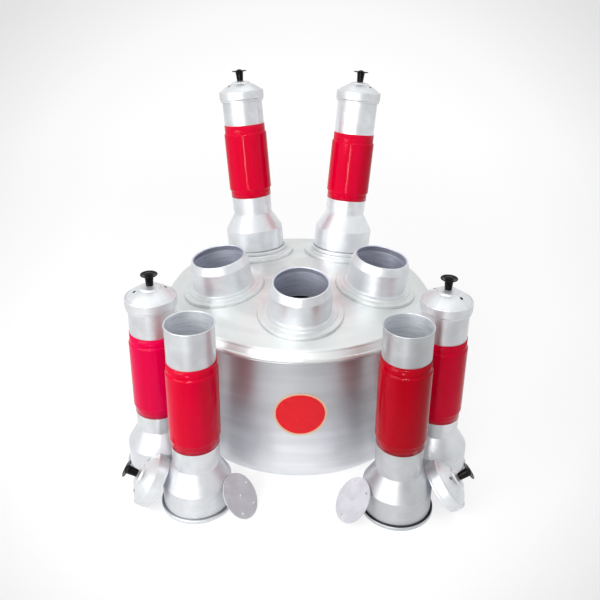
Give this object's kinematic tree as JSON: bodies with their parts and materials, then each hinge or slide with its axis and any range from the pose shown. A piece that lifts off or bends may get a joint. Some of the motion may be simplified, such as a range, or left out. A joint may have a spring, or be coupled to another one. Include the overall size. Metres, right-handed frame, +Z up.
{
  "type": "puttu steamer",
  "caption": "Wide water pot with a domed steam deck of upright spouts, and lidded steaming tubes with grip sleeves and perforated discs that stand over the spouts.",
  "frame": {"origin": "centre of the pot's flat base, on the table", "axes": "+Z up, -Y towards the viewer of the picture, +X to the viewer's right"},
  "size_m": [0.5439, 0.5392, 0.5776],
  "materials": {
    "pot_aluminium": "satin, brushed round the wall",
    "deck_aluminium": "satin, spun",
    "spout_aluminium": "bright, spun",
    "foot_aluminium": "satin, pressed",
    "barrel_aluminium": "satin, drawn",
    "bell_aluminium": "satin, spun",
    "lid_aluminium": "satin, pressed",
    "disc_aluminium": "matt sheet",
    "red_sleeve": "glossy, shrunk on",
    "padding": "matt foam, hidden",
    "black_knob": "glossy, moulded",
    "screw_steel": "plated",
    "sticker": "glossy film"
  },
  "bodies": {
    "water_pot": {"pot": "pot_aluminium", "badge": "sticker"},
    "deck": {"steam_deck": "deck_aluminium", "locating_ring": "deck_aluminium", "spout_feet": "foot_aluminium", "spout_front": "spout_aluminium", "spout_right": "spout_aluminium", "spout_back_right": "spout_aluminium", "spout_back_left": "spout_aluminium", "spout_left": "spout_aluminium"},
    "front_left_tube": {"front_left_barrel": "barrel_aluminium", "front_left_bell": "bell_aluminium", "front_left_sleeve": "red_sleeve", "front_left_core": "padding"},
    "front_left_cap": {"front_left_lid": "lid_aluminium", "front_left_knob": "black_knob", "front_left_screw": "screw_steel"},
    "front_left_plate": {"front_left_disc": "disc_aluminium"},
    "front_right_tube": {"front_right_barrel": "barrel_aluminium", "front_right_bell": "bell_aluminium", "front_right_sleeve": "red_sleeve", "front_right_core": "padding"},
    "front_right_cap": {"front_right_lid": "lid_aluminium", "front_right_knob": "black_knob", "front_right_screw": "screw_steel"},
    "front_right_plate": {"front_right_disc": "disc_aluminium"},
    "side_left_tube": {"side_left_barrel": "barrel_aluminium", "side_left_bell": "bell_aluminium", "side_left_sleeve": "red_sleeve", "side_left_core": "padding"},
    "side_left_cap": {"side_left_lid": "lid_aluminium", "side_left_knob": "black_knob", "side_left_screw": "screw_steel"},
    "side_left_plate": {"side_left_disc": "disc_aluminium"},
    "side_right_tube": {"side_right_barrel": "barrel_aluminium", "side_right_bell": "bell_aluminium", "side_right_sleeve": "red_sleeve", "side_right_core": "padding"},
    "side_right_cap": {"side_right_lid": "lid_aluminium", "side_right_knob": "black_knob", "side_right_screw": "screw_steel"},
    "side_right_plate": {"side_right_disc": "disc_aluminium"},
    "back_left_tube": {"back_left_barrel": "barrel_aluminium", "back_left_bell": "bell_aluminium", "back_left_sleeve": "red_sleeve", "back_left_core": "padding"},
    "back_left_cap": {"back_left_lid": "lid_aluminium", "back_left_knob": "black_knob", "back_left_screw": "screw_steel"},
    "back_left_plate": {"back_left_disc": "disc_aluminium"},
    "back_right_tube": {"back_right_barrel": "barrel_aluminium", "back_right_bell": "bell_aluminium", "back_right_sleeve": "red_sleeve", "back_right_core": "padding"},
    "back_right_cap": {"back_right_lid": "lid_aluminium", "back_right_knob": "black_knob", "back_right_screw": "screw_steel"},
    "back_right_plate": {"back_right_disc": "disc_aluminium"}
  },
  "joints": [
    {"name": "deck_lift", "type": "slide", "parent": "water_pot", "child": "deck", "axis": [0, 0, 1], "range_m": [0, 0.15]},
    {"name": "front_left_tube_lift", "type": "slide", "parent": "water_pot", "child": "front_left_tube", "axis": [0, 0, 1], "range_m": [0, 0.12]},
    {"name": "front_left_lid_pick_up", "type": "slide", "parent": "front_left_tube", "child": "front_left_cap", "axis": [0, 0, 1], "range_m": [0, 0.1]},
    {"name": "front_left_disc_pick_up", "type": "slide", "parent": "front_left_tube", "child": "front_left_plate", "axis": [0, 0, 1], "range_m": [0, 0.1]},
    {"name": "front_right_tube_lift", "type": "slide", "parent": "water_pot", "child": "front_right_tube", "axis": [0, 0, 1], "range_m": [0, 0.12]},
    {"name": "front_right_lid_pick_up", "type": "slide", "parent": "front_right_tube", "child": "front_right_cap", "axis": [0, 0, 1], "range_m": [0, 0.1]},
    {"name": "front_right_disc_pick_up", "type": "slide", "parent": "front_right_tube", "child": "front_right_plate", "axis": [0, 0, 1], "range_m": [0, 0.1]},
    {"name": "side_left_tube_lift", "type": "slide", "parent": "water_pot", "child": "side_left_tube", "axis": [0, 0, 1], "range_m": [0, 0.12]},
    {"name": "side_left_lid_lift", "type": "slide", "parent": "side_left_tube", "child": "side_left_cap", "axis": [0, 0, 1], "range_m": [0, 0.08]},
    {"name": "side_left_disc_push", "type": "slide", "parent": "side_left_tube", "child": "side_left_plate", "axis": [0, 0, 1], "range_m": [0, 0.19]},
    {"name": "side_right_tube_lift", "type": "slide", "parent": "water_pot", "child": "side_right_tube", "axis": [0, 0, 1], "range_m": [0, 0.12]},
    {"name": "side_right_lid_lift", "type": "slide", "parent": "side_right_tube", "child": "side_right_cap", "axis": [0, 0, 1], "range_m": [0, 0.08]},
    {"name": "side_right_disc_push", "type": "slide", "parent": "side_right_tube", "child": "side_right_plate", "axis": [0, 0, 1], "range_m": [0, 0.19]},
    {"name": "back_left_tube_lift", "type": "slide", "parent": "deck", "child": "back_left_tube", "axis": [-0.0879, 0.121, 0.9888], "range_m": [0, 0.12]},
    {"name": "back_left_lid_lift", "type": "slide", "parent": "back_left_tube", "child": "back_left_cap", "axis": [-0.0879, 0.121, 0.9888], "range_m": [0, 0.08]},
    {"name": "back_left_disc_push", "type": "slide", "parent": "back_left_tube", "child": "back_left_plate", "axis": [-0.0879, 0.121, 0.9888], "range_m": [0, 0.19]},
    {"name": "back_right_tube_lift", "type": "slide", "parent": "deck", "child": "back_right_tube", "axis": [0.0879, 0.121, 0.9888], "range_m": [0, 0.12]},
    {"name": "back_right_lid_lift", "type": "slide", "parent": "back_right_tube", "child": "back_right_cap", "axis": [0.0879, 0.121, 0.9888], "range_m": [0, 0.08]},
    {"name": "back_right_disc_push", "type": "slide", "parent": "back_right_tube", "child": "back_right_plate", "axis": [0.0879, 0.121, 0.9888], "range_m": [0, 0.19]}
  ]
}
